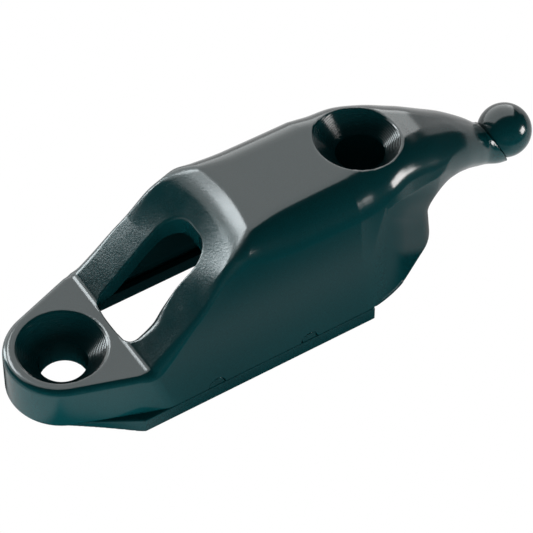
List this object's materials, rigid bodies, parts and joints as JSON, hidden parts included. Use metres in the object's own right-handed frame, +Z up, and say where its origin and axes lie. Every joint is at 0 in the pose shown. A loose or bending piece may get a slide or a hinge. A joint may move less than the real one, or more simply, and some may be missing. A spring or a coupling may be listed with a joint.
{
  "type": "cleat horn",
  "caption": "Screw-down spar fitting: countersunk foot, ramp with a rope eye over a hollow body, and a curved horn ending in a ball that a rope hooks under.",
  "frame": {"origin": "middle of the fitting's length and width, at the height of the flats under the saddle pad's rails", "axes": "+X along the spar from the screw foot to the tip of the horn, +Z up away from the spar, +Y to the left looking along +X"},
  "size_m": [0.0674, 0.019, 0.0194],
  "materials": {
    "black_nylon": "satin moulded nylon, near black with a cold green-blue cast",
    "pad_nylon": "satin moulded nylon, a shade duller than the body"
  },
  "bodies": {
    "root": {"horn_body": "black_nylon", "saddle_pad": "pad_nylon", "tip_ball": "black_nylon"}
  },
  "joints": []
}
